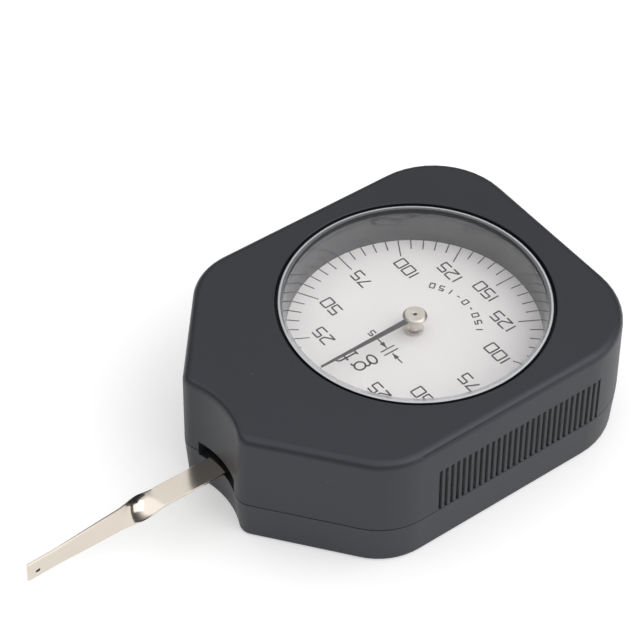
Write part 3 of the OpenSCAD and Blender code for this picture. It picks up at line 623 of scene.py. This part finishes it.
# Lapped acrylic: the inner facet is smoother, and lets the dial through as if behind thin frost.
# Its grey share is painted light, standing in for the wall and dial seen in the facet.
lapped_acrylic_painted_light, tree = bare_material("lapped_acrylic_painted_light")
place = add(tree, "TexCoord", {})
frost = add(tree, "TexNoise", {"Vector": place.outputs["Object"], "Scale": 900, "Detail": 3})
tint = add(tree, "Mix", {0: frost.outputs[0], 6: linear("#b4b8bc"), 7: linear("#c0c4c8")},
           data_type="RGBA")
shader = add(tree, "BsdfPrincipled", {"Base Color": tint.outputs[2], "Roughness": 0.2,
                                      "IOR": 1.49, "Transmission Weight": 0.75})
add(tree, "OutputMaterial", {"Surface": shader.outputs[0]})
window_disc.data.materials.append(lapped_acrylic_painted_light)
# Painted shade: the flange's top and outer wall are coloured near black, so the open groove round
# the window looks black.
groove_painted_shade, tree = bare_material("groove_painted_shade")
place = add(tree, "TexCoord", {})
shade_mottle = add(tree, "TexNoise", {"Vector": place.outputs["Object"], "Scale": 1800, "Detail": 3})
tint = add(tree, "Mix", {0: shade_mottle.outputs[0], 6: linear("#0c0c0d"), 7: linear("#161617")},
           data_type="RGBA")
shader = add(tree, "BsdfPrincipled", {"Base Color": tint.outputs[2], "Roughness": 0.75})
add(tree, "OutputMaterial", {"Surface": shader.outputs[0]})
window_disc.data.materials.append(groove_painted_shade)
# The facets are known by their slope, and the painted shade lies outside the rim.
ground, lapped, shaded_flange = 1, 2, 3
slack = 0.0001
for face in window_disc.data.polygons:
    if 0.3 < face.normal.z < 0.9995:
        face.material_index = ground if face.normal.z < 0.99 else lapped
    elif Vector(face.center).xy.length > rim_r - slack:
        face.material_index = shaded_flange
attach(window_disc, "case")
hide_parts("window")


# Front case: the upper moulding, black ABS with a satin spark-eroded skin, grip grooves in both
# flanks, a hollow round the lever slot and a polished wall down to the dial. The whole movement
# hangs from three of its posts.
front_shell = placed(merged("front_case"), "front_shell")
# Black ABS, satin: the skin is a fine grain, drawn 0.25 mm coarse so that it shows, with a little
# dust on it. The rim is smoother where hands rub it and paler, from wear and a painted highlight.
satin_abs, tree = bare_material("black_abs_satin")
place = add(tree, "TexCoord", {})
grain = add(tree, "TexNoise", {"Vector": place.outputs["Object"], "Scale": 4000, "Detail": 3,
                               "Roughness": 0.6})
cloud = add(tree, "TexNoise", {"Vector": place.outputs["Object"], "Scale": 70, "Detail": 4})
facing = add(tree, "SeparateXYZ", {"Vector": place.outputs["Normal"]})
# Rim rounding, picked by its slope: paler there from wear and a painted highlight, and smoother.
lean = add(tree, "Math", {0: facing.outputs[2], 1: 0.6}, operation="SUBTRACT")
slant = add(tree, "Math", {0: lean.outputs[0]}, operation="ABSOLUTE")
rim_wear_and_sheen = add(tree, "MapRange", {"Value": slant.outputs[0], "From Min": 0.38, "From Max": 0.1})
base = add(tree, "Mix", {0: cloud.outputs[0], 6: linear("#1f2125"), 7: linear("#26282c")},
           data_type="RGBA")
wear_and_sheen_tint = add(tree, "Mix", {0: rim_wear_and_sheen.outputs[0], 6: base.outputs[2], 7: linear("#2f3135")},
           data_type="RGBA")
specks = add(tree, "TexVoronoi", {"Vector": place.outputs["Object"], "Scale": 420})
lot = add(tree, "SeparateXYZ", {"Vector": specks.outputs["Color"]})
chosen = add(tree, "Math", {0: lot.outputs[0], 1: 0.965}, operation="GREATER_THAN")
spot = add(tree, "MapRange", {"Value": specks.outputs["Distance"], "From Min": 0.06,
                              "From Max": 0.03})
dust = add(tree, "Math", {0: chosen.outputs[0], 1: spot.outputs[0]}, operation="MULTIPLY")
tint = add(tree, "Mix", {0: dust.outputs[0], 6: wear_and_sheen_tint.outputs[2], 7: linear("#626364")},
           data_type="RGBA")
rough = add(tree, "MapRange", {"Value": cloud.outputs[0], "To Min": 0.42, "To Max": 0.52})
gloss = add(tree, "Mix", {0: rim_wear_and_sheen.outputs[0], 2: rough.outputs[0], 3: 0.4}, data_type="FLOAT")
relief = add(tree, "Bump", {"Height": grain.outputs[0], "Strength": 0.12, "Distance": 0.00002})
shader = add(tree, "BsdfPrincipled", {"Base Color": tint.outputs[2], "Roughness": gloss.outputs[0],
                                      "IOR": 1.56, "Specular Tint": linear("#f2f4ff"),
                                      "Normal": relief.outputs[0]})
add(tree, "OutputMaterial", {"Surface": shader.outputs[0]})
front_shell.data.materials.append(satin_abs)
# Black ABS, polished: the core that forms the wall round the dial is polished for release, so it
# mirrors the ticks. Its colour is painted paler than the satin skin, as light bounced off the
# dial.
polished_abs_painted_light, tree = bare_material("black_abs_polished_painted_light")
place = add(tree, "TexCoord", {})
wave = add(tree, "TexNoise", {"Vector": place.outputs["Object"], "Scale": 350, "Detail": 2})
tint = add(tree, "Mix", {0: wave.outputs[0], 6: linear("#424347"), 7: linear("#4b4c50")},
           data_type="RGBA")
gloss = add(tree, "MapRange", {"Value": wave.outputs[0], "To Min": 0.015, "To Max": 0.04})
shader = add(tree, "BsdfPrincipled", {"Base Color": tint.outputs[2], "Roughness": gloss.outputs[0],
                                      "IOR": 1.53, "Specular IOR Level": 0.85})
add(tree, "OutputMaterial", {"Surface": shader.outputs[0]})
front_shell.data.materials.append(polished_abs_painted_light)
# Black ABS, groove walls: painted paler than the skin, as light in the shade of the grip grooves,
# in soft patches about a millimetre long.
groove_wall_lit_abs, tree = bare_material("black_abs_groove_wall_painted_light")
place = add(tree, "TexCoord", {})
wall_patches = add(tree, "TexNoise", {"Vector": place.outputs["Object"], "Scale": 1000, "Detail": 4,
                               "Roughness": 0.6})
tint = add(tree, "Mix", {0: wall_patches.outputs[0], 6: linear("#565759"), 7: linear("#737476")},
           data_type="RGBA")
shader = add(tree, "BsdfPrincipled", {"Base Color": tint.outputs[2], "Roughness": 0.7,
                                      "IOR": 1.53})
add(tree, "OutputMaterial", {"Surface": shader.outputs[0]})
front_shell.data.materials.append(groove_wall_lit_abs)
# Black ABS, dull: hands never rub the floor of a groove, so it keeps a matt skin that hardly
# shines. Its colour is painted paler than the case skin, as light in the groove's shade.
groove_floor_lit_abs, tree = bare_material("black_abs_groove_floor_painted_light")
place = add(tree, "TexCoord", {})
skin = add(tree, "TexNoise", {"Vector": place.outputs["Object"], "Scale": 1000, "Detail": 4,
                              "Roughness": 0.6})
tint = add(tree, "Mix", {0: skin.outputs[0], 6: linear("#303134"), 7: linear("#3e3f42")},
           data_type="RGBA")
shader = add(tree, "BsdfPrincipled", {"Base Color": tint.outputs[2], "Roughness": 0.7,
                                      "Specular IOR Level": 0.2})
add(tree, "OutputMaterial", {"Surface": shader.outputs[0]})
front_shell.data.materials.append(groove_floor_lit_abs)
polished, groove_wall_lit, groove_floor_lit = 1, 2, 3
grooves_from, grooves_to = -0.0175, 0.0265
groove_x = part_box("front_case")[1].x - 0.00065
hair_breadth = 0.00001
# The wall round the dial and the groove walls and floors take the materials that carry painted
# light.
for face in front_shell.data.polygons:
    middle = Vector(face.center)
    if middle.xy.length < window_r + slack and dial_top < middle.z < window_low:
        face.material_index = polished
    elif grooves_from < middle.y < grooves_to and abs(middle.x) > groove_x - hair_breadth:
        if abs(middle.x) < groove_x + hair_breadth:
            face.material_index = groove_floor_lit
        elif abs(face.normal.y) > 0.99:
            face.material_index = groove_wall_lit
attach(front_shell, "case")
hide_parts("front_case")


# Rear cover: the lower moulding of the same black ABS, drawn in towards the flat back. A lip
# inside the front case locates it, and four screws in deep counterbores pull it up.
rear_shell = placed(merged("rear_cover"), "rear_shell")
rear_shell.data.materials.append(satin_abs)
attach(rear_shell, "case")
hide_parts("rear_cover")


# Cover screws: four cross-recessed screws of zinc-plated steel, driven up from the back into the
# front case.
cover(zinc_plate, "cover_screws")


# Studio: a plain white floor under the gauge and a room lit from its ceiling, dark towards the
# horizon, with one wide soft box above the far right side. The floor lies a hair below the back,
# and off centre, so that its diagonal isn't under the gauge.
floor_half, floor_place, contact = 2.5, (0.5, -0.5, -0.00003), 0.0003
floor_mesh = bmesh.new()
bmesh.ops.create_grid(floor_mesh, x_segments=1, y_segments=1, size=floor_half)
bmesh.ops.translate(floor_mesh, verts=floor_mesh.verts, vec=floor_place)
floor = placed(floor_mesh, "floor", even=False)
# White floor: lifted to white for the camera, with the shadow kept. It is clear from below and
# glows where the back rests on it, so that the back can be looked at.
white_floor, tree = bare_material("white_floor")
ray = add(tree, "LightPath", {})
paper = add(tree, "BsdfDiffuse", {"Color": linear("#e8e8e8")})
seen = add(tree, "Math", {0: ray.outputs["Is Glossy Ray"], 1: 0.9,
                          2: ray.outputs["Is Camera Ray"]}, operation="MULTIPLY_ADD")
touching = add(tree, "Math", {0: ray.outputs["Ray Length"], 1: contact}, operation="LESS_THAN")
lift = add(tree, "Math", {0: seen.outputs[0], 1: 0.35, 2: touching.outputs[0]},
           operation="MULTIPLY_ADD")
glow = add(tree, "Emission", {"Color": linear("#ffffff"), "Strength": lift.outputs[0]})
both = add(tree, "AddShader", {0: paper.outputs[0], 1: glow.outputs[0]})
side = add(tree, "NewGeometry", {})
clear = add(tree, "BsdfTransparent", {})
sheet = add(tree, "MixShader", {0: side.outputs["Backfacing"], 1: both.outputs[0],
                                2: clear.outputs[0]})
add(tree, "OutputMaterial", {"Surface": sheet.outputs[0]})
floor.data.materials.append(white_floor)

# The room's brightness grows with the fourth power of the height above the horizon, up to a limit.
horizon, zenith, ceiling_limit = 0.1, 2.55, 1.3
room = bpy.data.worlds.new("pale_room")
room.use_nodes = True
tree = room.node_tree
tree.nodes.clear()
ray = add(tree, "LightPath", {})
place = add(tree, "TexCoord", {})
way = add(tree, "SeparateXYZ", {"Vector": place.outputs["Object"]})
height = add(tree, "Math", {0: way.outputs[2], 1: 0}, operation="MAXIMUM")
steep = add(tree, "Math", {0: height.outputs[0], 1: 4}, operation="POWER")
bright = add(tree, "Math", {0: steep.outputs[0], 1: zenith, 2: horizon}, operation="MULTIPLY_ADD")
ceiling = add(tree, "Math", {0: bright.outputs[0], 1: ceiling_limit}, operation="MINIMUM")
shown = add(tree, "Mix", {0: ray.outputs["Is Camera Ray"], 2: ceiling.outputs[0], 3: 1},
            data_type="FLOAT")
light = add(tree, "Background", {"Color": linear("#ffffff"), "Strength": shown.outputs[0]})
add(tree, "OutputWorld", {"Surface": light.outputs[0]})
bpy.context.scene.world = room

box_place, box_aim = Vector((0.5, 0.38, 0.6)), Vector((0, 0, 0.015))
lamp = bpy.data.lights.new("soft_box", "AREA")
lamp.shape = "SQUARE"
lamp.size = 0.9
lamp.energy = 3.2
stand = bpy.data.objects.new("soft_box", lamp)
stand.location = box_place
stand.rotation_euler = (box_aim - box_place).to_track_quat("-Z", "Y").to_euler()
bpy.context.scene.collection.objects.link(stand)

# Camera: a long lens from the right front, looking down about 46 degrees.
lens = bpy.data.cameras.new("camera")
lens.sensor_width = 36
lens.lens = 126.81
camera = bpy.data.objects.new("camera", lens)
camera.location = (0.224075, -0.184013, 0.320696)
camera.rotation_euler = [math.radians(a) for a in (43.967, 0.058, 54.0115)]
bpy.context.scene.collection.objects.link(camera)
bpy.context.scene.camera = camera
bpy.context.scene.view_settings.view_transform = "Standard"
